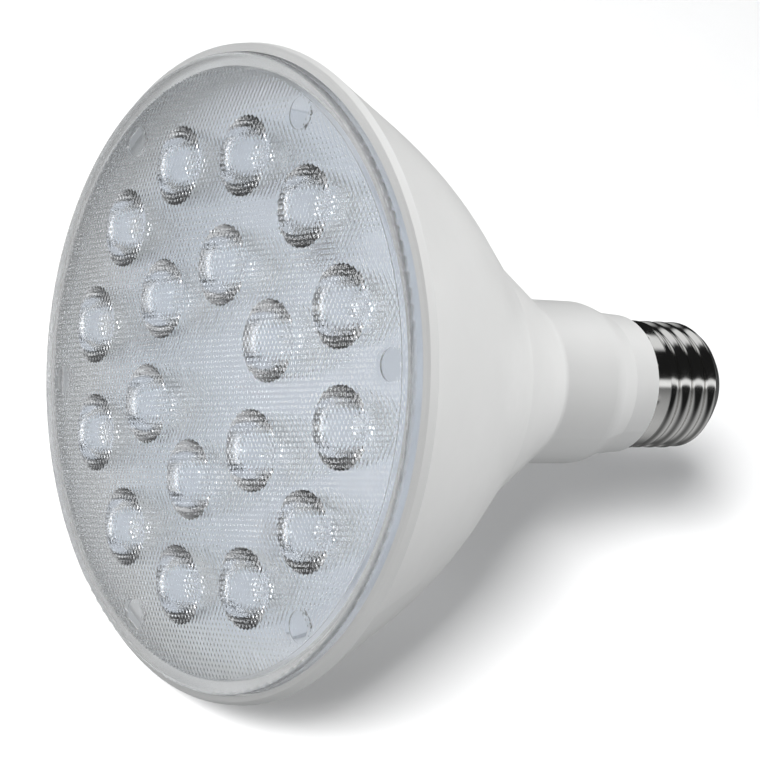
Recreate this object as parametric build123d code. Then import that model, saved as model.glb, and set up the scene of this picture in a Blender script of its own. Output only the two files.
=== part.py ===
from build123d import *
import os
from math import cos, hypot, radians, sin, sqrt

# A reflector-shaped lamp with a clear multi-lens front and a screw cap, in millimetres.
# The lamp axis is Y: the lens faces -Y, the screw cap points to +Y, and y = 0 is the plane
# in which the screw cap seats against the collar of the housing.

# Housing, outer form, listed from the collar forward
collar_radius = 14.1
collar_front_radius = 14.45
collar_length = 6.3
neck_radius = 16.4
neck_taper_length = 5.8
neck_length = 14.9
neck_back_round = 8.0
neck_root_round = 2.0
shoulder_radius = 27.8
shoulder_length = 18.7
bowl_break_radius = 46.4
bowl_back_length = 22.5
bowl_front_length = 27.2
bowl_bend_radius = 120.0
rim_back_radius = 60.6
rim_draft = 0.3
rim_depth = 2.0
rim_chamfer = 0.4

# Housing, inside
housing_wall = 1.8
ledge_thickness = 2.0
ledge_reach = 2.6
collar_bore_radius = 10.6
collar_floor_setback = 2.0
spigot_radius = 12.6
spigot_end_gap = 0.1
guide_rib_width = 1.4
guide_rib_reach = 1.6

# Lens plate
rim_land = 1.5
lens_gap = 0.2
lens_bond = 0.1
lens_proud = 2.0
lens_edge_round = 0.9
lens_edge_depth = 4.4
lens_edge_width = 2.5
lens_ring_width = 3.0
lens_face_recess = 0.3
lens_plate_thickness = 1.6
lens_crown = 2.8
pad_inset = 6.6
pad_radius = 3.0
pad_height = 0.3
pad_count = 6
pad_phase = 45.0

# Collimators and light sources, in two rings
outer_ring_inset = 18.4
outer_ring_count = 12
ring_step = 20.1
inner_ring_count = 6
collimator_mouth_radius = 7.4
collimator_foot_radius = 3.5
collimator_depth = 8.6
collimator_bulge = 0.7
pocket_radius = 2.6
pocket_depth = 4.2
led_side = 3.0
led_body_height = 0.5
led_window_side = 2.3
led_window_height = 0.12
led_corner_cut = 0.5
led_pocket_gap = 0.05

# Light engine and heat sink
led_board_margin = 7.8
led_board_thickness = 1.6
lead_hole_radius = 4.8
sink_gap = 0.1
sink_wall = 1.5
sink_floor = 2.0
sink_length = 32.0
screw_inset = 10.2
screw_count = 3
screw_phase = 90.0
screw_radius = 1.5
screw_length = 3.4
screw_head_radius = 2.7
screw_head_height = 1.6
screw_slot_width = 0.8
screw_slot_depth = 0.7
board_hole_gap = 0.15
sink_hole_gap = 0.05

# Screw cap
band_radius = 13.15
band_length = 4.6
shell_wall = 0.4
shell_spigot_gap = 0.05
thread_crest_radius = 13.1
thread_root_radius = 12.25
thread_pitch = 3.629
thread_crest_width = 0.8
thread_root_width = 0.8
thread_bite = 0.25
thread_first_crest = 2.975
thread_length = 13.0
dent_count = 12
dent_width = 1.3
dent_length = 1.1
dent_depth = 0.25
dent_from_seat = 1.0
dent_phase = 28.0
shell_lip_radius = 9.6
shell_cone_length = 4.0
insulator_tip_radius = 5.4
insulator_length = 3.3
insulator_flange_depth = 2.4
insulator_hole_radius = 2.0
contact_radius = 4.8
contact_crown_radius = 2.6
contact_rim = 0.4
contact_dome = 0.9
contact_wall = 0.4
eyelet_length = 3.6
eyelet_gap = 0.05

# Driver and inner wires
lead_radius = 0.6
lead_bend_radius = 2.5
lead_solder_length = 4.0
lead_hole_gap = 0.1
led_lead_spread = 2.8
neutral_lead_offset = 5.0
driver_half_width = 12.8
driver_length = 38.0
driver_thickness = 1.2
driver_guide_gap = 0.1

# Parts on the driver board: x of the middle, y of the end nearer the cap, and sizes
core_x = -4.2
core_y = -34.0
core_width = 14.0
core_length = 13.0
core_height = 12.0
core_limb = 3.0
core_yoke = 3.0
core_thickness = 6.0
winding_gap = 0.2
bulk_x = -6.2
bulk_y = -14.5
bulk_radius = 5.0
bulk_length = 16.0
output_x = 7.6
output_y = -34.5
output_radius = 4.0
output_length = 12.0
film_x = 6.8
film_y = -16.5
film_width = 5.5
film_length = 10.5
film_height = 8.0
fuse_x = 7.6
fuse_y = -27.2
fuse_radius = 1.6
fuse_length = 7.0
rectifier_x = -5.0
rectifier_y = -18.0
rectifier_width = 4.7
rectifier_length = 6.4
rectifier_height = 2.4
chip_x = 3.0
chip_y = -30.0
chip_width = 4.0
chip_length = 5.0
chip_height = 1.6
pin_width = 0.5
pin_reach = 1.0
pin_thickness = 0.3

# Radii that follow the rim
rim_radius = rim_back_radius - rim_draft
lens_radius = rim_radius - rim_land - lens_gap
ledge_radius = lens_radius - ledge_reach
lens_field_radius = lens_radius - lens_ring_width
pad_circle_radius = lens_radius - pad_inset
outer_ring_radius = lens_radius - outer_ring_inset
inner_ring_radius = outer_ring_radius - ring_step
led_board_radius = outer_ring_radius + led_board_margin
screw_circle_radius = outer_ring_radius - screw_inset

# Places along the axis
collar_front_y = -collar_length
neck_back_y = collar_front_y - neck_taper_length
neck_front_y = neck_back_y - neck_length
shoulder_y = neck_front_y - shoulder_length
bowl_break_y = shoulder_y - bowl_back_length
rim_back_y = bowl_break_y - bowl_front_length
rim_front_y = rim_back_y - rim_depth
lens_face_y = rim_front_y - lens_proud
lens_seat_y = lens_face_y + lens_edge_depth
ledge_y = lens_seat_y + lens_bond
ledge_back_y = ledge_y + ledge_thickness
plate_back_y = lens_face_y + lens_face_recess + lens_plate_thickness
collimator_foot_y = plate_back_y + collimator_depth
led_board_y = collimator_foot_y + led_body_height + led_window_height + led_pocket_gap
sink_y = led_board_y + led_board_thickness
sink_back_y = sink_y + sink_length
collar_floor_y = neck_back_y + collar_floor_setback
thread_end_y = band_length + thread_length
shell_lip_y = thread_end_y + shell_cone_length
insulator_tip_y = shell_lip_y + insulator_length
contact_tip_y = insulator_tip_y + contact_rim + contact_dome
spigot_end_y = band_length - shell_wall - spigot_end_gap
driver_top_z = -lead_radius
driver_front_y = collar_floor_y - driver_length


def turned(*outline):
    """Solid of revolution about the lamp axis from a closed outline of (radius, y) points."""
    return revolve(make_face(Polyline(*outline, close=True)), Axis.Y)


def drum(radius, y_from, y_to):
    """Plain cylinder on the lamp axis between two planes."""
    return turned((0, y_from), (radius, y_from), (radius, y_to), (0, y_to))


def ring_edge(solid, corner):
    """Round edge about the lamp axis that runs through a (radius, y) corner."""
    rings = solid.edges().filter_by(GeomType.CIRCLE)
    return rings.sort_by_distance((corner[0], corner[1], 0))[0]


def on_circle(radius, count, phase=0.0):
    """Places on a circle about the lamp axis, counted from +X towards +Z."""
    turns = [radians(phase + 360.0 * i / count) for i in range(count)]
    return [Pos(radius * cos(a), 0, radius * sin(a)) for a in turns]


def block(x_from, x_to, y_from, y_to, z_from, z_to):
    """Box between two opposite corners."""
    centre = Pos((x_from + x_to) / 2, (y_from + y_to) / 2, (z_from + z_to) / 2)
    return centre * Box(x_to - x_from, y_to - y_from, z_to - z_from)


def inward(start, end):
    """Unit vector square to the line from start to end, pointing to the axis side."""
    run = hypot(end[0] - start[0], end[1] - start[1])
    return (start[1] - end[1]) / run, (end[0] - start[0]) / run


def sunk_corner(before, corner, after, depth):
    """Corner of the outline that runs parallel to before-corner-after, `depth` nearer the axis."""
    a = inward(before, corner)
    b = inward(corner, after)
    reach = depth / (1 + a[0] * b[0] + a[1] * b[1])
    return corner[0] + reach * (a[0] + b[0]), corner[1] + reach * (a[1] + b[1])


rim_back = (rim_back_radius, rim_back_y)
bowl_break = (bowl_break_radius, bowl_break_y)
shoulder = (shoulder_radius, shoulder_y)
neck_front = (neck_radius, neck_front_y)
neck_back = (neck_radius, neck_back_y)


def bowl_radius(y, depth):
    """Radius of the front cone of the bowl at y, `depth` below its outer face."""
    slope = (rim_back_radius - bowl_break_radius) / bowl_front_length
    return rim_back_radius - slope * (y - rim_back_y) - depth * sqrt(1 + slope ** 2)


def body_form(depth, y_from, y_to):
    """Solid filled form of bowl, shoulder and neck between two planes, `depth` below the outer face."""
    bend = sunk_corner(rim_back, bowl_break, shoulder, depth)
    outline = make_face(Polyline(
        (0, lens_face_y),
        (bowl_radius(lens_face_y, depth), lens_face_y),
        bend,
        sunk_corner(bowl_break, shoulder, neck_front, depth),
        sunk_corner(shoulder, neck_front, neck_back, depth),
        (neck_radius - depth, collar_floor_y),
        (0, collar_floor_y),
        close=True,
    ))
    corner = outline.vertices().sort_by_distance(bend)[0]
    form = revolve(fillet(corner, bowl_bend_radius - depth), Axis.Y)
    return form & drum(bowl_radius(lens_face_y, 0), y_from, y_to)


def make_housing():
    """White moulded shell from the rim to the spigot of the screw cap."""
    lip = turned((0, rim_front_y), (rim_radius, rim_front_y), rim_back, (0, rim_back_y))
    lip = chamfer(ring_edge(lip, (rim_radius, rim_front_y)), rim_chamfer)
    collar = turned(
        (0, neck_back_y), neck_back, (collar_front_radius, collar_front_y), (collar_radius, 0), (0, 0))
    shell = lip + body_form(0, rim_back_y, neck_back_y) + collar + drum(spigot_radius, 0, spigot_end_y)
    shell = fillet(ring_edge(shell, neck_back), neck_back_round)
    shell = fillet(ring_edge(shell, neck_front), neck_root_round)
    shell -= drum(lens_radius + lens_gap, rim_front_y, ledge_y)
    shell -= drum(ledge_radius, ledge_y, ledge_back_y)
    shell -= body_form(housing_wall, ledge_back_y, collar_floor_y)
    shell -= drum(collar_bore_radius, collar_floor_y, spigot_end_y)
    for rib in guide_ribs():
        shell += rib
    return shell


def guide_ribs():
    """Four ribs in the neck that hold the long edges of the driver board."""
    groove_top = driver_top_z + driver_guide_gap
    groove_bottom = driver_top_z - driver_thickness - driver_guide_gap
    inner_x = driver_half_width - guide_rib_reach
    outer_x = neck_radius - housing_wall / 2
    ribs = []
    for low, high in ((groove_top, groove_top + guide_rib_width), (groove_bottom - guide_rib_width, groove_bottom)):
        ribs.append(block(inner_x, outer_x, neck_front_y, collar_floor_y, low, high))
        ribs.append(block(-outer_x, -inner_x, neck_front_y, collar_floor_y, low, high))
    bore = drum(neck_radius - housing_wall / 2, neck_front_y, collar_floor_y)
    return [rib & bore for rib in ribs]


def source_places():
    """Places of the light sources, outer ring first."""
    outer = on_circle(outer_ring_radius, outer_ring_count)
    return outer + on_circle(inner_ring_radius, inner_ring_count)


def lens_rise(radius):
    """Height of the domed lens face at a radius, above the edge of its field."""
    sphere = (lens_field_radius ** 2 + lens_crown ** 2) / (2 * lens_crown)
    return sqrt(sphere ** 2 - radius ** 2) - (sphere - lens_crown)


def lens_dome(radius, y):
    """Arc of a domed face from its crown on the axis to a radius, with the edge of its field at y."""
    return ThreePointArc((0, y - lens_crown), (radius / 2, y - lens_rise(radius / 2)), (radius, y - lens_rise(radius)))


def make_lens_plate():
    """Clear domed plate with its edge, its pads and one collimator over each light source."""
    face_y = lens_face_y + lens_face_recess
    edge_radius = lens_radius - lens_edge_width
    face = lens_dome(lens_field_radius, face_y)
    back = lens_dome(edge_radius, plate_back_y)
    edge = Polyline(face @ 1, (lens_field_radius, lens_face_y), (lens_radius, lens_face_y),
                    (lens_radius, lens_seat_y), (edge_radius, lens_seat_y), back @ 1)
    plate = revolve(make_face([face, *edge.edges(), back, Line(back @ 0, face @ 0)]), Axis.Y)
    plate = fillet(ring_edge(plate, (lens_radius, lens_face_y)), lens_edge_round)
    for radius, count in ((outer_ring_radius, outer_ring_count), (inner_ring_radius, inner_ring_count)):
        collimator = make_collimator(plate_back_y - lens_rise(radius))
        plate += [place * collimator for place in on_circle(radius, count)]
    pad_y = plate_back_y - lens_rise(pad_circle_radius)
    pad = drum(pad_radius, pad_y - lens_plate_thickness / 2, pad_y + pad_height)
    return plate + [place * pad for place in on_circle(pad_circle_radius, pad_count, pad_phase)]


def make_collimator(mouth_y):
    """Curved cone that gathers the light of one source, with a pocket for the source at its foot."""
    root_y = mouth_y - lens_plate_thickness / 2
    pocket_y = collimator_foot_y - pocket_depth
    mouth = (collimator_mouth_radius, mouth_y)
    foot = (collimator_foot_radius, collimator_foot_y)
    side = ThreePointArc(mouth, bulged(mouth, foot, -collimator_bulge), foot)
    rest = Polyline(foot, (pocket_radius, collimator_foot_y), (pocket_radius, pocket_y), (0, pocket_y),
                    (0, root_y), (collimator_mouth_radius, root_y), mouth)
    return revolve(make_face([side, *rest.edges()]), Axis.Y)


def bulged(start, end, depth):
    """Middle of the line from start to end, moved `depth` to the axis side."""
    a = inward(start, end)
    return (start[0] + end[0]) / 2 + depth * a[0], (start[1] + end[1]) / 2 + depth * a[1]


def make_led():
    """One square light source: a white body with a raised window and one cut corner."""
    half = led_side / 2
    body_y = led_board_y - led_body_height
    body = block(-half, half, body_y, led_board_y, -half, half)
    body = chamfer(body.edges().filter_by(Axis.Y).sort_by(Axis.X)[-1], led_corner_cut)
    window = led_window_side / 2
    return body + block(-window, window, body_y - led_window_height, body_y, -window, window)


def screw_places():
    """Places of the screws that hold the led board."""
    return on_circle(screw_circle_radius, screw_count, screw_phase)


def make_led_board():
    """Metal-core disc that carries the light sources."""
    board = drum(led_board_radius, led_board_y, sink_y)
    hole = drum(screw_radius + board_hole_gap, led_board_y, sink_y)
    wire_hole = drum(lead_radius + lead_hole_gap, led_board_y, sink_y)
    wire_holes = [Pos(x, 0, 0) * wire_hole for x in (led_lead_spread, -led_lead_spread)]
    return board - [place * hole for place in screw_places()] - wire_holes


def make_heat_sink():
    """Pressed aluminium cup that lines the bowl and carries the led board on its floor."""
    depth = housing_wall + sink_gap
    slab = drum(rim_back_radius, sink_y, sink_back_y)
    hollow = drum(rim_back_radius, sink_y + sink_floor, sink_back_y)
    cup = body_form(depth, sink_y, collar_floor_y) & slab
    cup -= body_form(depth + sink_wall, sink_y, collar_floor_y) & hollow
    cup -= drum(lead_hole_radius, sink_y, sink_y + sink_floor)
    hole = drum(screw_radius + sink_hole_gap, sink_y, sink_y + sink_floor)
    return cup - [place * hole for place in screw_places()]


def make_board_screws():
    """Slotted pan-head screws through the led board into the heat sink."""
    head_y = led_board_y - screw_head_height
    screw = drum(screw_head_radius, head_y, led_board_y)
    screw -= block(-screw_head_radius, screw_head_radius, head_y, head_y + screw_slot_depth,
                   -screw_slot_width / 2, screw_slot_width / 2)
    screw += drum(screw_radius, led_board_y, led_board_y + screw_length)
    return [place * screw for place in screw_places()]


def cap_cone_slope():
    """Loss of radius for each millimetre along the conical end of the screw cap."""
    return (thread_crest_radius - shell_lip_radius) / shell_cone_length


def make_screw_shell():
    """Rolled screw cap: plain band with crimp dents, coarse thread and conical end."""
    bore = thread_root_radius - shell_wall
    bore_end_y = thread_end_y + (thread_crest_radius - thread_root_radius) / cap_cone_slope()
    lip_bore = shell_lip_radius - shell_wall
    cone_y = thread_end_y - (band_radius - thread_crest_radius) / cap_cone_slope()
    form = turned((0, 0), (band_radius, 0), (band_radius, cone_y), (shell_lip_radius, shell_lip_y), (0, shell_lip_y))
    shell = (drum(thread_root_radius, band_length, shell_lip_y) + thread_ridge()) & form
    shell += drum(band_radius, 0, band_length)
    shell -= drum(spigot_radius + shell_spigot_gap, 0, band_length - shell_wall)
    shell -= turned((0, band_length - shell_wall), (bore, band_length - shell_wall), (bore, bore_end_y),
                    (lip_bore, shell_lip_y), (0, shell_lip_y))
    for i in range(dent_count):
        punch = block(band_radius - dent_depth, band_radius + dent_depth,
                      dent_from_seat - dent_length / 2, dent_from_seat + dent_length / 2,
                      -dent_width / 2, dent_width / 2)
        shell -= Rot(0, -dent_phase - 360.0 * i / dent_count, 0) * punch
    return shell


def thread_ridge():
    """Right-hand ridge of the thread, from under the band to the conical end."""
    crest = thread_crest_width / 2
    foot = (thread_pitch - thread_root_width) / 2
    buried = foot + thread_bite * (foot - crest) / (thread_crest_radius - thread_root_radius)
    inner_radius = thread_root_radius - thread_bite
    section = make_face(Polyline(
        (thread_crest_radius, 0, -crest), (thread_crest_radius, 0, crest),
        (inner_radius, 0, buried), (inner_radius, 0, -buried), close=True))
    path = Edge.make_helix(thread_pitch, shell_lip_y - thread_first_crest, thread_root_radius)
    ridge = sweep(section, path=path, is_frenet=True)
    return Rot(-90, 0, 0) * (Pos(0, 0, thread_first_crest) * ridge)


def make_cap_insulator():
    """Black insulating ring that closes the end of the screw cap."""
    flange_y = shell_lip_y - insulator_flange_depth
    lip_bore = shell_lip_radius - shell_wall
    flange_radius = lip_bore + cap_cone_slope() * insulator_flange_depth
    return turned((insulator_hole_radius, flange_y), (flange_radius, flange_y), (lip_bore, shell_lip_y),
                  (shell_lip_radius, shell_lip_y), (insulator_tip_radius, insulator_tip_y),
                  (insulator_hole_radius, insulator_tip_y))


def make_centre_contact():
    """Domed contact with the eyelet that takes the live lead."""
    eyelet = insulator_hole_radius - eyelet_gap
    bore = eyelet - contact_wall
    rim_y = insulator_tip_y + contact_rim
    floor_y = insulator_tip_y + contact_wall
    eyelet_y = insulator_tip_y - eyelet_length
    return turned((0, floor_y), (0, contact_tip_y), (contact_crown_radius, contact_tip_y), (contact_radius, rim_y),
                  (contact_radius, insulator_tip_y), (eyelet, insulator_tip_y), (eyelet, eyelet_y),
                  (bore, eyelet_y), (bore, floor_y))


def make_lead(*route):
    """Round insulated wire along straight runs joined by tangent bends."""
    path = Line(*route) if len(route) == 2 else FilletPolyline(*route, radius=lead_bend_radius)
    start = Plane(origin=path @ 0, z_dir=path % 0)
    return sweep(start * Circle(lead_radius), path)


def make_live_lead():
    """Straight wire on the axis, from the driver board to the floor of the centre contact."""
    return make_lead((0, collar_floor_y - lead_solder_length, 0), (0, insulator_tip_y + contact_wall, 0))


def make_neutral_lead():
    """Wire from the driver board that turns out to the wall of the screw shell."""
    turn_y = band_length + lead_radius + shell_wall
    wall_x = sqrt((thread_root_radius - shell_wall) ** 2 - lead_radius ** 2)
    return make_lead((neutral_lead_offset, collar_floor_y - lead_solder_length, 0),
                     (neutral_lead_offset, turn_y, 0), (wall_x, turn_y, 0))


def make_led_lead(side):
    """Straight wire from the driver board into its hole in the led board; side is 1 or -1."""
    x = side * led_lead_spread
    return make_lead((x, driver_front_y + lead_solder_length, 0), (x, led_board_y, 0))


def make_driver_board():
    """Board that slides into the neck on its long edges."""
    return block(-driver_half_width, driver_half_width, driver_front_y, collar_floor_y,
                 driver_top_z - driver_thickness, driver_top_z)


def make_transformer_core():
    """Ferrite core: two yokes joined by two outer limbs and a middle limb."""
    half = core_width / 2
    front_y = core_y - core_length
    middle_z = driver_top_z + core_height / 2
    low = middle_z - core_thickness / 2
    high = middle_z + core_thickness / 2
    core = block(core_x - half, core_x + half, front_y, core_y, low, high)
    window = block(core_limb / 2, half - core_limb / 2, front_y + core_yoke, core_y - core_yoke, low, high)
    core -= Pos(core_x, 0, 0) * window
    return core - Pos(core_x, 0, 0) * mirror(window, Plane.YZ)


def make_transformer_winding():
    """Taped coil and bobbin around the middle limb, standing on the driver board."""
    middle_z = driver_top_z + core_height / 2
    y_from = core_y - core_length + core_yoke + winding_gap
    y_to = core_y - core_yoke - winding_gap
    half = core_width / 2 - core_limb / 2 - winding_gap
    limb = core_limb / 2 + winding_gap
    post = core_thickness / 2 + winding_gap
    coil = block(core_x - half, core_x + half, y_from, y_to, driver_top_z, driver_top_z + core_height)
    return coil - block(core_x - limb, core_x + limb, y_from, y_to, middle_z - post, middle_z + post)


def make_can(x, y, radius, length):
    """Round can lying on the driver board along the lamp axis."""
    return Pos(x, 0, driver_top_z + radius) * drum(radius, y - length, y)


def make_film_capacitor():
    """Box-shaped capacitor standing on the driver board."""
    half = film_width / 2
    box = block(film_x - half, film_x + half, film_y - film_length, film_y, driver_top_z, driver_top_z + film_height)
    return chamfer(box.edges().filter_by(Axis.Y).group_by(Axis.Z)[-1], half / 4)


def make_chip(x, y, width, length, height, pins):
    """Flat package under the driver board with pins along its two long sides."""
    under_z = driver_top_z - driver_thickness
    half = width / 2
    package = block(x - half, x + half, y - length, y, under_z - height, under_z)
    pitch = length / pins
    reach = half + pin_reach
    for i in range(pins):
        middle = y - pitch * (i + 0.5)
        package += block(x - reach, x + reach, middle - pin_width / 2, middle + pin_width / 2,
                         under_z - pin_thickness, under_z)
    return package


nodes = {
    "lens_plate": make_lens_plate(),
    "housing": make_housing(),
    "heat_sink": make_heat_sink(),
    "led_board": make_led_board(),
    "board_screws": make_board_screws(),
    "screw_shell": make_screw_shell(),
    "cap_insulator": make_cap_insulator(),
    "centre_contact": make_centre_contact(),
    "driver_board": make_driver_board(),
    "transformer_core": make_transformer_core(),
    "transformer_winding": make_transformer_winding(),
    "bulk_capacitor": make_can(bulk_x, bulk_y, bulk_radius, bulk_length),
    "output_capacitor": make_can(output_x, output_y, output_radius, output_length),
    "fuse_resistor": make_can(fuse_x, fuse_y, fuse_radius, fuse_length),
    "film_capacitor": make_film_capacitor(),
    "bridge_rectifier": make_chip(rectifier_x, rectifier_y, rectifier_width, rectifier_length, rectifier_height, 2),
    "control_chip": make_chip(chip_x, chip_y, chip_width, chip_length, chip_height, 4),
    "live_lead": make_live_lead(),
    "neutral_lead": make_neutral_lead(),
    "led_positive_lead": make_led_lead(1),
    "led_negative_lead": make_led_lead(-1),
}
for number, place in enumerate(source_places(), start=1):
    nodes[f"led_{number:02d}"] = place * make_led()

os.makedirs("parts", exist_ok=True)
for name, solid in nodes.items():
    shape = Compound(children=list(solid)) if isinstance(solid, list) else solid
    export_step(shape, f"parts/{name}.step")
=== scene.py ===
import math

import bpy
from mathutils import Matrix, Vector


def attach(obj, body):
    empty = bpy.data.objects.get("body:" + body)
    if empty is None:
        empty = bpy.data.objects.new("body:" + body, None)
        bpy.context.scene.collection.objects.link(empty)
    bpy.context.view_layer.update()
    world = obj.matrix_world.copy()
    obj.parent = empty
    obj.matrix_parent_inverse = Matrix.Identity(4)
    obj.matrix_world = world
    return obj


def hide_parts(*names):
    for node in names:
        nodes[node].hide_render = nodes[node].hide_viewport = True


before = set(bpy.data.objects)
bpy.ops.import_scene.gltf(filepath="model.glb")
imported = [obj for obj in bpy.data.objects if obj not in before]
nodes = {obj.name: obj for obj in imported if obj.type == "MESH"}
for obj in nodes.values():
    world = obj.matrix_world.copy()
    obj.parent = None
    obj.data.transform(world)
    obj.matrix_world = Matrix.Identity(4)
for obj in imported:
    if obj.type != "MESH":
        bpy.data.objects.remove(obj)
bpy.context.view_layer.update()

# Sizes of the lamp are in millimetres and turns in degrees. The axis is Y, and y = 0 is the seat of the cap.
MM = 0.001

# Lens: round cells on the front face, a matt ring outside them and round pads without cells.
# The middle lies half-way through the plate at the edge of the field.
LENS_FIELD_RADIUS = 55.6
LENS_CELL = 0.95
LENS_CELL_DEPTH = 0.11
LENS_CELL_TURNS = (15.0, 75.0)
LENS_MIDDLE_Y = -98.3
LENS_CROWN = 2.8
LENS_FACET_RADIUS = 12.0
LENS_EDGE_START = LENS_FIELD_RADIUS - 0.1
LENS_EDGE_FULL = LENS_FIELD_RADIUS + 0.3
LENS_EDGE_ROUGH = 0.2
LENS_ROUGH = (0.0, 0.02)
LENS_TONES = ((0.955, 0.97, 0.985), (0.985, 0.99, 0.995))
LENS_IOR = 1.49
PAD_CIRCLE = 52.0
PAD_RADIUS = 3.0
PAD_COUNT = 6
PAD_PHASE = 45.0

# Housing: the front of the rim, how far its shading leans outwards, and the moulded plastic
RIM_FRONT_Y = -97.4
RIM_BORE = 58.8
RIM_CHAMFER = 0.4
RIM_LEAN = 1.1
GRAIN_DEPTH = 0.004
HOUSING_FINISH = ((0.80, 0.80, 0.79), (0.83, 0.83, 0.82), 0.38)

# Screw shell: plain band with crimp dents, round thread and conical end
BAND_RADIUS = 13.15
BAND_LENGTH = 4.6
BAND_BORE = 12.65
BAND_RUN_OUT = (-0.3, 0.5)
CREST_RADIUS = 13.1
ROOT_RADIUS = 12.25
THREAD_BORE = 11.85
THREAD_PITCH = 3.629
FIRST_CREST = 2.975
THREAD_END = 17.6
CONE_ROUND = 0.9
LIP_RADIUS = 9.6
LIP_Y = 21.6
SHELL_WALL = 0.4
DENT_COUNT = 12
DENT_PHASE = 28.0
DENT_PLACE = 1.0
DENT_DEPTH = 0.25
DENT_SPREAD = 0.55
SHELL_STEPS_ROUND = 240
SHELL_STEPS_ALONG = 150

# Plain finishes: two close tones, roughness and share of metal
FINISHES = {
    "white_coated_cup": ((0.74, 0.77, 0.81), (0.78, 0.81, 0.85), 0.4, 0.0),
    "white_board": ((0.72, 0.77, 0.84), (0.76, 0.81, 0.88), 0.4, 0.0),
    "led_package": ((0.80, 0.80, 0.76), (0.84, 0.84, 0.80), 0.4, 0.0),
    "zinc_steel": ((0.55, 0.55, 0.56), (0.65, 0.65, 0.66), 0.3, 1.0),
    "nickel_plate": ((0.60, 0.59, 0.57), (0.66, 0.65, 0.63), 0.12, 1.0),
    "black_insulator": ((0.012, 0.012, 0.014), (0.02, 0.02, 0.022), 0.2, 0.0),
    "tinned_brass": ((0.60, 0.52, 0.38), (0.68, 0.62, 0.50), 0.3, 1.0),
    "green_board": ((0.03, 0.13, 0.05), (0.04, 0.17, 0.07), 0.4, 0.0),
    "ferrite": ((0.02, 0.02, 0.022), (0.035, 0.035, 0.038), 0.6, 0.0),
    "yellow_tape": ((0.65, 0.45, 0.05), (0.70, 0.50, 0.07), 0.35, 0.0),
    "black_sleeve": ((0.01, 0.01, 0.012), (0.02, 0.02, 0.025), 0.3, 0.0),
    "resistor_coat": ((0.10, 0.20, 0.15), (0.13, 0.24, 0.18), 0.4, 0.0),
    "film_case": ((0.40, 0.03, 0.02), (0.45, 0.05, 0.03), 0.4, 0.0),
    "chip_black": ((0.008, 0.008, 0.008), (0.015, 0.015, 0.015), 0.5, 0.0),
    "wire_black": ((0.008, 0.008, 0.008), (0.015, 0.015, 0.015), 0.5, 0.0),
    "wire_white": ((0.70, 0.70, 0.70), (0.75, 0.75, 0.75), 0.5, 0.0),
    "wire_red": ((0.35, 0.01, 0.01), (0.40, 0.015, 0.012), 0.5, 0.0),
}

# Finish of each piece; the light sources, which aren't listed, have a finish of their own
WORN = {
    "lens_plate": "clear_lens",
    "housing": "white_housing",
    "heat_sink": "white_coated_cup",
    "led_board": "white_board",
    "board_screws": "zinc_steel",
    "screw_shell": "nickel_plate",
    "cap_insulator": "black_insulator",
    "centre_contact": "tinned_brass",
    "driver_board": "green_board",
    "transformer_core": "ferrite",
    "transformer_winding": "yellow_tape",
    "bulk_capacitor": "black_sleeve",
    "output_capacitor": "black_sleeve",
    "fuse_resistor": "resistor_coat",
    "film_capacitor": "film_case",
    "bridge_rectifier": "chip_black",
    "control_chip": "chip_black",
    "live_lead": "wire_black",
    "neutral_lead": "wire_white",
    "led_positive_lead": "wire_red",
    "led_negative_lead": "wire_black",
}
LED_FINISH = "led_package"

# Noise on the finishes, in spots to the metre, and the part of its range that is used
TONE_SPOTS = 60.0
ROUGH_SPOTS = 400.0
ROUGH_SPREAD = 0.15
GRAIN_SPOTS = 900.0
LENS_TONE_SPOTS = 25.0
LENS_ROUGH_SPOTS = 300.0
NOISE_DETAIL = 3.0
NOISE_LOW = 0.3
NOISE_HIGH = 0.7

# Places of the vector sockets on a Mix node
MIX_FIRST = 4
MIX_SECOND = 5
MIX_RESULT = 1

# Studio, in metres: the floor touches the rim, and a pale dome stands round it
FLOOR_Z = -60.6 * MM
FLOOR_SIZE = 6.0
FLOOR_FINISH = ((0.89, 0.89, 0.89), (0.90, 0.90, 0.90), 0.6)
BACKDROP_RADIUS = 1.3
BACKDROP_FINISH = ((0.80, 0.80, 0.80), (0.82, 0.82, 0.82), 0.8)
BACKDROP_GLOW = 0.6

# What the lens and the cap mirror: a dim room and bright panels.
# A panel has its direction, the two cosines between which it fades in, and its tone.
ROOM_TONE = 0.015
ROOM_COLOUR = (0.97, 0.985, 1.0, 1.0)
TABLE_AND_WALL = ((-0.72, -0.45, -0.53), 0.36, 0.54, 0.6)
TABLE_LIGHT = ((-0.28, -0.92, -0.26), 0.983, 0.992, 9.0)
FRONT_WINDOW = ((-0.22, -0.90, 0.38), 0.98, 0.992, 5.0)
CAMERA_SIDE = ((0.42, -0.90, 0.08), 0.92, 0.96, 0.8)
TOP_SOFTBOX = ((-0.60, -0.10, 0.79), 0.92, 0.98, 1.0)
BACK_SOFTBOX = ((-0.46, 0.60, 0.65), 0.95, 0.985, 1.0)
RIGHT_CARD = ((0.80, 0.52, -0.30), 0.5, 0.98, 0.5)
BACK_TABLE = ((0.10, 0.60, -0.80), 0.5, 0.8, 0.1)
PANELS = (
    TABLE_AND_WALL, TABLE_LIGHT, FRONT_WINDOW, CAMERA_SIDE,
    TOP_SOFTBOX, BACK_SOFTBOX, RIGHT_CARD, BACK_TABLE,
)

# Strip of light along the lamp on the camera side, turned from +X towards +Z
STRIP_TURN = 45.0
STRIP_HALF_WIDTH = (0.04, 0.12)
STRIP_FACING = (0.2, 0.4)
STRIP_TONE = 1.2

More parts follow.
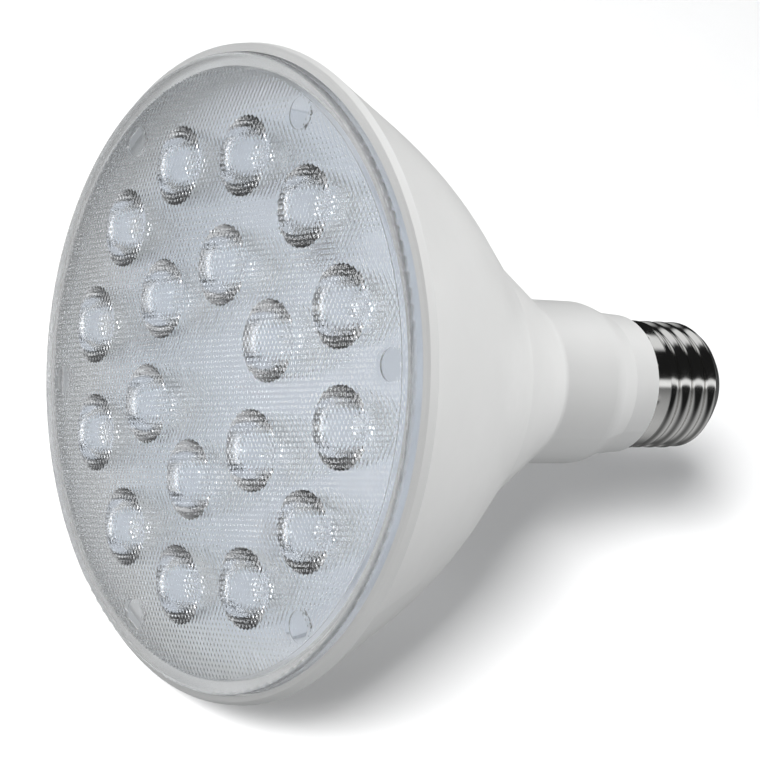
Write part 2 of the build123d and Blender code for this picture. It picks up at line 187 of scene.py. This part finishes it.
# Camera of the photograph, with its directions to the right and ahead
CAMERA_LENS = 129.0
CAMERA_SENSOR = 36.0
CAMERA_PLACE = (0.30168, -0.3822, 0.27774)
CAMERA_RIGHT = (0.43676, 0.78635, 0.43692)
CAMERA_AHEAD = (-0.57803, 0.61748, -0.53348)


def material(name):
    """New node material with a surface shader; returns the material, its tree and the shader."""
    made = bpy.data.materials.new(name)
    made.use_nodes = True
    return made, made.node_tree, made.node_tree.nodes["Principled BSDF"]


def math_node(tree, operation, first, second=None, third=None):
    """One sum: sockets are linked and numbers are set on the input."""
    made = tree.nodes.new("ShaderNodeMath")
    made.operation = operation
    for place, value in enumerate((first, second, third)):
        if value is None:
            continue
        if isinstance(value, (int, float)):
            made.inputs[place].default_value = value
        else:
            tree.links.new(value, made.inputs[place])
    return made.outputs[0]


def vector_node(tree, operation, first, second=None):
    """One sum of vectors; a scale takes a number as its second input."""
    made = tree.nodes.new("ShaderNodeVectorMath")
    made.operation = operation
    tree.links.new(first, made.inputs[0])
    if second is not None:
        tree.links.new(second, made.inputs["Scale" if operation == "SCALE" else 1])
    return made.outputs[0]


def place_socket(tree):
    """Place in the row frame, in metres."""
    return tree.nodes.new("ShaderNodeTexCoord").outputs["Object"]


def place_parts(tree):
    """The three parts of the place."""
    made = tree.nodes.new("ShaderNodeSeparateXYZ")
    tree.links.new(place_socket(tree), made.inputs[0])
    return made.outputs["X"], made.outputs["Y"], made.outputs["Z"]


def distance(tree, first, second):
    """Length of the vector with these two parts."""
    squares = math_node(tree, "MULTIPLY_ADD", second, second, math_node(tree, "MULTIPLY", first, first))
    return math_node(tree, "SQRT", squares)


def noise_socket(tree, spots):
    """Grey noise over the object, with so many spots to the metre."""
    made = tree.nodes.new("ShaderNodeTexNoise")
    made.inputs["Scale"].default_value = spots
    made.inputs["Detail"].default_value = NOISE_DETAIL
    tree.links.new(place_socket(tree), made.inputs["Vector"])
    return made.outputs["Fac"]


def span(tree, noise, low, high):
    """Noise stretched to run from low to high."""
    made = tree.nodes.new("ShaderNodeMapRange")
    made.inputs["From Min"].default_value = NOISE_LOW
    made.inputs["From Max"].default_value = NOISE_HIGH
    made.inputs["To Min"].default_value = low
    made.inputs["To Max"].default_value = high
    tree.links.new(noise, made.inputs["Value"])
    return made.outputs["Result"]


def two_tone(tree, noise, first, second):
    """Colour that runs from first to second with the noise."""
    made = tree.nodes.new("ShaderNodeValToRGB")
    made.color_ramp.elements[0].position = NOISE_LOW
    made.color_ramp.elements[1].position = NOISE_HIGH
    made.color_ramp.elements[0].color = (*first, 1.0)
    made.color_ramp.elements[1].color = (*second, 1.0)
    tree.links.new(noise, made.inputs["Fac"])
    return made.outputs["Color"]


def ease(tree, value, low, high):
    """0 where value is below low, 1 above high, with a soft rise."""
    made = tree.nodes.new("ShaderNodeMapRange")
    made.interpolation_type = "SMOOTHSTEP"
    made.inputs["From Min"].default_value = low
    made.inputs["From Max"].default_value = high
    tree.links.new(value, made.inputs["Value"])
    return made.outputs["Result"]


def bump(tree, shader, height, depth, normal):
    """Raises the surface by height times depth, in millimetres, along the normal."""
    made = tree.nodes.new("ShaderNodeBump")
    made.inputs["Distance"].default_value = depth * MM
    tree.links.new(height, made.inputs["Height"])
    tree.links.new(normal, made.inputs["Normal"])
    tree.links.new(made.outputs["Normal"], shader.inputs["Normal"])


def coated(name, first, second, rough, metallic=0.0):
    """Plain finish: two close tones and a roughness that varies a little."""
    made, tree, shader = material(name)
    tone = two_tone(tree, noise_socket(tree, TONE_SPOTS), first, second)
    tree.links.new(tone, shader.inputs["Base Color"])
    low = rough * (1.0 - ROUGH_SPREAD)
    high = rough * (1.0 + ROUGH_SPREAD)
    tree.links.new(span(tree, noise_socket(tree, ROUGH_SPOTS), low, high), shader.inputs["Roughness"])
    shader.inputs["Metallic"].default_value = metallic
    return made


def rim_normal(tree):
    """Normal of the housing, turned outwards on the front of the rim, which is round like a lip."""
    x, y, z = place_parts(tree)
    front = math_node(tree, "LESS_THAN", y, (RIM_FRONT_Y + RIM_CHAMFER) * MM)
    lip = math_node(tree, "GREATER_THAN", distance(tree, x, z), RIM_BORE * MM)
    lean = math_node(tree, "MULTIPLY", math_node(tree, "MULTIPLY", front, lip), RIM_LEAN)
    outward = tree.nodes.new("ShaderNodeCombineXYZ")
    tree.links.new(x, outward.inputs["X"])
    tree.links.new(z, outward.inputs["Z"])
    turned = vector_node(tree, "SCALE", vector_node(tree, "NORMALIZE", outward.outputs[0]), lean)
    straight = tree.nodes.new("ShaderNodeNewGeometry").outputs["Normal"]
    return vector_node(tree, "NORMALIZE", vector_node(tree, "ADD", straight, turned))


def housing_material():
    """White moulded plastic with a fine grain."""
    made = coated("white_housing", *HOUSING_FINISH)
    tree = made.node_tree
    grain = noise_socket(tree, GRAIN_SPOTS)
    bump(tree, tree.nodes["Principled BSDF"], grain, GRAIN_DEPTH, rim_normal(tree))
    return made


def off_pads(tree, x, z, reach):
    """0 on the round pads of the lens and 1 elsewhere.

    The turn is folded to one pad, and the cosine rule gives the distance from its centre.
    """
    around = math_node(tree, "SUBTRACT", math_node(tree, "ARCTAN2", z, x), math.radians(PAD_PHASE))
    turn = math_node(tree, "WRAP", around, math.pi / PAD_COUNT, -math.pi / PAD_COUNT)
    chord = math_node(tree, "MULTIPLY_ADD", math_node(tree, "COSINE", turn), -2.0 * PAD_CIRCLE * MM, reach)
    square = math_node(tree, "MULTIPLY_ADD", reach, chord, (PAD_CIRCLE * MM) ** 2)
    return math_node(tree, "GREATER_THAN", square, (PAD_RADIUS * MM) ** 2)


def front_field(tree, y, reach):
    """1 on the domed front face of the lens inside its plain ring, and 0 elsewhere."""
    inside = math_node(tree, "LESS_THAN", reach, LENS_FIELD_RADIUS * MM)
    share = math_node(tree, "DIVIDE", reach, LENS_FIELD_RADIUS * MM)
    rise = math_node(tree, "MULTIPLY_ADD", math_node(tree, "MULTIPLY", share, share), -LENS_CROWN * MM, y)
    front = math_node(tree, "LESS_THAN", rise, (LENS_MIDDLE_Y - LENS_CROWN) * MM)
    return math_node(tree, "MULTIPLY", inside, front)


def lens_cells(tree, x, y, z, reach):
    """Height of the fine round cells embossed on the lens, from -1 to 1 for each direction of their rows."""
    height = 0.0
    waves = 2.0 * math.pi / (LENS_CELL * MM)
    for degrees in LENS_CELL_TURNS:
        turn = math.radians(degrees)
        across = math_node(tree, "MULTIPLY", x, math.cos(turn) * waves)
        along = math_node(tree, "MULTIPLY_ADD", z, math.sin(turn) * waves, across)
        height = math_node(tree, "ADD", math_node(tree, "COSINE", along), height)
    field = math_node(tree, "MULTIPLY", front_field(tree, y, reach), off_pads(tree, x, z, reach))
    return math_node(tree, "MULTIPLY", height, field)


def crown_normal(tree, reach):
    """Normal of the lens, taken from the flat facets near the crown, where the smooth one is pinched."""
    shape = tree.nodes.new("ShaderNodeNewGeometry")
    made = tree.nodes.new("ShaderNodeMix")
    made.data_type = "VECTOR"
    tree.links.new(math_node(tree, "LESS_THAN", reach, LENS_FACET_RADIUS * MM), made.inputs["Factor"])
    tree.links.new(shape.outputs["Normal"], made.inputs[MIX_FIRST])
    tree.links.new(shape.outputs["True Normal"], made.inputs[MIX_SECOND])
    return made.outputs[MIX_RESULT]


def lens_material():
    """Clear plastic with the fine emboss of the front face and a matt moulded edge."""
    made, tree, shader = material("clear_lens")
    shader.inputs["Transmission Weight"].default_value = 1.0
    shader.inputs["IOR"].default_value = LENS_IOR
    tint = two_tone(tree, noise_socket(tree, LENS_TONE_SPOTS), *LENS_TONES)
    tree.links.new(tint, shader.inputs["Base Color"])
    x, y, z = place_parts(tree)
    reach = distance(tree, x, z)
    edge = ease(tree, reach, LENS_EDGE_START * MM, LENS_EDGE_FULL * MM)
    face = span(tree, noise_socket(tree, LENS_ROUGH_SPOTS), *LENS_ROUGH)
    rough = math_node(tree, "MULTIPLY_ADD", edge, LENS_EDGE_ROUGH, face)
    tree.links.new(rough, shader.inputs["Roughness"])
    cell_swing = 2.0 * len(LENS_CELL_TURNS)
    cells = lens_cells(tree, x, y, z, reach)
    bump(tree, shader, cells, LENS_CELL_DEPTH / cell_swing, crown_normal(tree, reach))
    return made


def smooth_step(low, high, value):
    """0 before low, 1 after high and a soft rise between them."""
    share = min(1.0, max(0.0, (value - low) / (high - low)))
    return share * share * (3.0 - 2.0 * share)


def soft_min(first, second, reach):
    """The smaller of two lengths, with the corner between them rounded."""
    share = max(0.0, reach - abs(first - second)) / reach
    return min(first, second) - share * share * reach / 4.0


def dent_depth(turn, y):
    """Depth of the nearest crimp dent at this place."""
    pitch = 360.0 / DENT_COUNT
    apart = (turn - DENT_PHASE + pitch / 2.0) % pitch - pitch / 2.0
    across = math.radians(apart) * BAND_RADIUS
    near = (across * across + (y - DENT_PLACE) ** 2) / DENT_SPREAD ** 2
    return DENT_DEPTH * math.exp(-near)


def shell_radius(turn, y):
    """Outer radius of the screw shell at an angle in degrees from +X towards +Z."""
    wave = math.cos(2.0 * math.pi * ((y - FIRST_CREST) / THREAD_PITCH + turn / 360.0))
    thread = (CREST_RADIUS + ROOT_RADIUS) / 2.0 + wave * (CREST_RADIUS - ROOT_RADIUS) / 2.0
    leaves = smooth_step(BAND_LENGTH + BAND_RUN_OUT[0], BAND_LENGTH + BAND_RUN_OUT[1], y)
    radius = BAND_RADIUS + (thread - BAND_RADIUS) * leaves
    slope = (CREST_RADIUS - LIP_RADIUS) / (LIP_Y - THREAD_END)
    radius = soft_min(radius, CREST_RADIUS - slope * (y - THREAD_END), CONE_ROUND)
    return radius - dent_depth(turn, y)


def ring_of(radius_at, y):
    """One ring of points about the axis."""
    points = []
    for step in range(SHELL_STEPS_ROUND):
        degrees = 360.0 * step / SHELL_STEPS_ROUND
        radius = radius_at(degrees, y) * MM
        turn = math.radians(degrees)
        points.append((radius * math.cos(turn), y * MM, radius * math.sin(turn)))
    return points


def shell_rings():
    """Rings of the screw shell: along the thread to the lip, and back along the plain bore of the solid."""
    rings = []
    for step in range(SHELL_STEPS_ALONG + 1):
        rings.append(ring_of(shell_radius, LIP_Y * step / SHELL_STEPS_ALONG))
    cone_run = (LIP_Y - THREAD_END) / (CREST_RADIUS - LIP_RADIUS)
    bore_end = THREAD_END + (CREST_RADIUS - ROOT_RADIUS) * cone_run
    step_y = BAND_LENGTH - SHELL_WALL
    bore = (
        (LIP_RADIUS - SHELL_WALL, LIP_Y),
        (THREAD_BORE, bore_end),
        (THREAD_BORE, step_y),
        (BAND_BORE, step_y),
        (BAND_BORE, 0.0),
    )
    for radius, y in bore:
        rings.append(ring_of(lambda turn, place, fixed=radius: fixed, y))
    return rings


def ring_faces(ring_count):
    """Faces between each ring and the next, and from the last back to the first."""
    count = SHELL_STEPS_ROUND
    faces = []
    for row in range(ring_count):
        here = row * count
        after = (row + 1) % ring_count * count
        for step in range(count):
            beside = (step + 1) % count
            faces.append((here + step, here + beside, after + beside, after + step))
    return faces


def add_screw_shell(finish):
    """Rolled screw shell with a rounded thread and pressed dents."""
    rings = shell_rings()
    mesh = bpy.data.meshes.new("screw_shell_fine")
    mesh.from_pydata([point for ring in rings for point in ring], [], ring_faces(len(rings)))
    mesh.materials.append(finish)
    for polygon in mesh.polygons:
        polygon.use_smooth = True
    shell = bpy.data.objects.new("screw_shell_fine", mesh)
    bpy.context.scene.collection.objects.link(shell)
    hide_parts("screw_shell")
    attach(shell, "root")
    return shell


def finish_nodes():
    """A finish for every piece of the lamp; returns the screw shell that is added."""
    made = {name: coated(name, *values) for name, values in FINISHES.items()}
    made["clear_lens"] = lens_material()
    made["white_housing"] = housing_material()
    for name, node in nodes.items():
        node.data.materials.clear()
        node.data.materials.append(made[WORN.get(name, LED_FINISH)])
    return add_screw_shell(made["nickel_plate"])


def hide_from_bounces(piece):
    """Keeps a piece of the studio out of the light and the reflections on the lamp."""
    piece.visible_diffuse = False
    piece.visible_glossy = False
    piece.visible_transmission = False


def add_floor():
    """Large pale floor that the rim of the lamp touches."""
    bpy.ops.mesh.primitive_plane_add(size=FLOOR_SIZE, location=(0, 0, FLOOR_Z))
    floor = bpy.context.object
    floor.name = "floor"
    floor.data.materials.append(coated("pale_floor", *FLOOR_FINISH))
    hide_from_bounces(floor)
    return floor


def add_backdrop():
    """Pale dome round the floor that gives no light and that only the camera sees."""
    bpy.ops.mesh.primitive_uv_sphere_add(segments=64, ring_count=32, radius=BACKDROP_RADIUS,
                                         location=(0, 0, FLOOR_Z))
    dome = bpy.context.object
    dome.name = "backdrop"
    finish = coated("pale_backdrop", *BACKDROP_FINISH)
    shader = finish.node_tree.nodes["Principled BSDF"]
    shader.inputs["Emission Color"].default_value = (1.0, 1.0, 1.0, 1.0)
    shader.inputs["Emission Strength"].default_value = BACKDROP_GLOW
    finish.cycles.emission_sampling = "NONE"
    dome.data.materials.append(finish)
    hide_from_bounces(dome)
    dome.visible_shadow = False


def gathered(name, pieces):
    """Collection of the listed pieces."""
    made = bpy.data.collections.new(name)
    for piece in pieces:
        made.objects.link(piece)
    return made


def add_light(name, place, target, size, watts, lit, blocked_by=None):
    """Square soft light at place, turned to target, that lights the listed pieces and is seen in none."""
    lamp = bpy.data.lights.new(name, "AREA")
    lamp.shape = "SQUARE"
    lamp.size = size
    lamp.energy = watts
    made = bpy.data.objects.new(name, lamp)
    made.location = place
    made.rotation_mode = "QUATERNION"
    made.rotation_quaternion = (Vector(target) - Vector(place)).to_track_quat("-Z", "Y")
    bpy.context.scene.collection.objects.link(made)
    made.visible_glossy = False
    made.visible_transmission = False
    made.light_linking.receiver_collection = gathered(name + "_lit", lit)
    if blocked_by:
        made.light_linking.blocker_collection = gathered(name + "_blocked", blocked_by)


def add_lights(floor, shell):
    """Two lights for the floor and its shadow, and three for the lamp; the lens only mirrors the studio."""
    ground = (0, 0, FLOOR_Z)
    middle = (0, -0.05, 0)
    body = [node for name, node in nodes.items() if name != "lens_plate"] + [shell]
    add_light("key", (0.85, -1.70, 1.44), ground, size=0.5, watts=100.0, lit=[floor])
    add_light("fill", (0.0, -0.5, 2.0), ground, size=1.0, watts=3.7, lit=[floor], blocked_by=[floor])
    add_light("back", (-0.29, 1.32, 1.47), middle, size=1.2, watts=35.0, lit=body)
    add_light("side", (1.7, 0.7, 0.25), middle, size=1.2, watts=8.0, lit=body)
    add_light("front", (0.2, -1.8, 0.7), middle, size=1.0, watts=15.0, lit=body, blocked_by=body)


def toward(tree, direction):
    """How far the looking direction points along the given one, from -1 to 1."""
    made = tree.nodes.new("ShaderNodeVectorMath")
    made.operation = "DOT_PRODUCT"
    made.inputs[1].default_value = Vector(direction).normalized()
    tree.links.new(tree.nodes.new("ShaderNodeTexCoord").outputs["Generated"], made.inputs[0])
    return made.outputs["Value"]


def add_world():
    """Dim studio with the strip and the panels that the lens and the cap mirror."""
    world = bpy.data.worlds.new("studio")
    world.use_nodes = True
    tree = world.node_tree
    turn = math.radians(STRIP_TURN)
    aside = math_node(tree, "ABSOLUTE", toward(tree, (-math.sin(turn), 0, math.cos(turn))))
    strip = math_node(tree, "SUBTRACT", 1.0, ease(tree, aside, *STRIP_HALF_WIDTH))
    facing = ease(tree, toward(tree, (math.cos(turn), 0, math.sin(turn))), *STRIP_FACING)
    tone = math_node(tree, "MULTIPLY_ADD", math_node(tree, "MULTIPLY", strip, facing), STRIP_TONE, ROOM_TONE)
    for direction, low, high, strength in PANELS:
        panel = ease(tree, toward(tree, direction), low, high)
        tone = math_node(tree, "MULTIPLY_ADD", panel, strength, tone)
    tree.links.new(tone, tree.nodes["Background"].inputs["Strength"])
    tree.nodes["Background"].inputs["Color"].default_value = ROOM_COLOUR
    bpy.context.scene.world = world


def set_light_paths():
    """Enough bounces for light that runs round inside the clear lens, and plain tones."""
    scene = bpy.context.scene
    scene.cycles.max_bounces = 14
    scene.cycles.transmission_bounces = 14
    scene.cycles.glossy_bounces = 8
    scene.cycles.diffuse_bounces = 4
    scene.view_settings.view_transform = "Standard"


def add_camera():
    """Camera where the photograph was taken from."""
    data = bpy.data.cameras.new("camera")
    data.lens = CAMERA_LENS
    data.sensor_width = CAMERA_SENSOR
    data.clip_start = 0.01
    camera = bpy.data.objects.new("camera", data)
    right = Vector(CAMERA_RIGHT)
    ahead = Vector(CAMERA_AHEAD)
    up = right.cross(ahead).normalized()
    turn = Matrix((right, up, -ahead)).transposed().to_4x4()
    camera.matrix_world = Matrix.Translation(CAMERA_PLACE) @ turn
    bpy.context.scene.collection.objects.link(camera)
    bpy.context.scene.camera = camera


shell = finish_nodes()
floor = add_floor()
add_backdrop()
add_world()
add_lights(floor, shell)
set_light_paths()
add_camera()
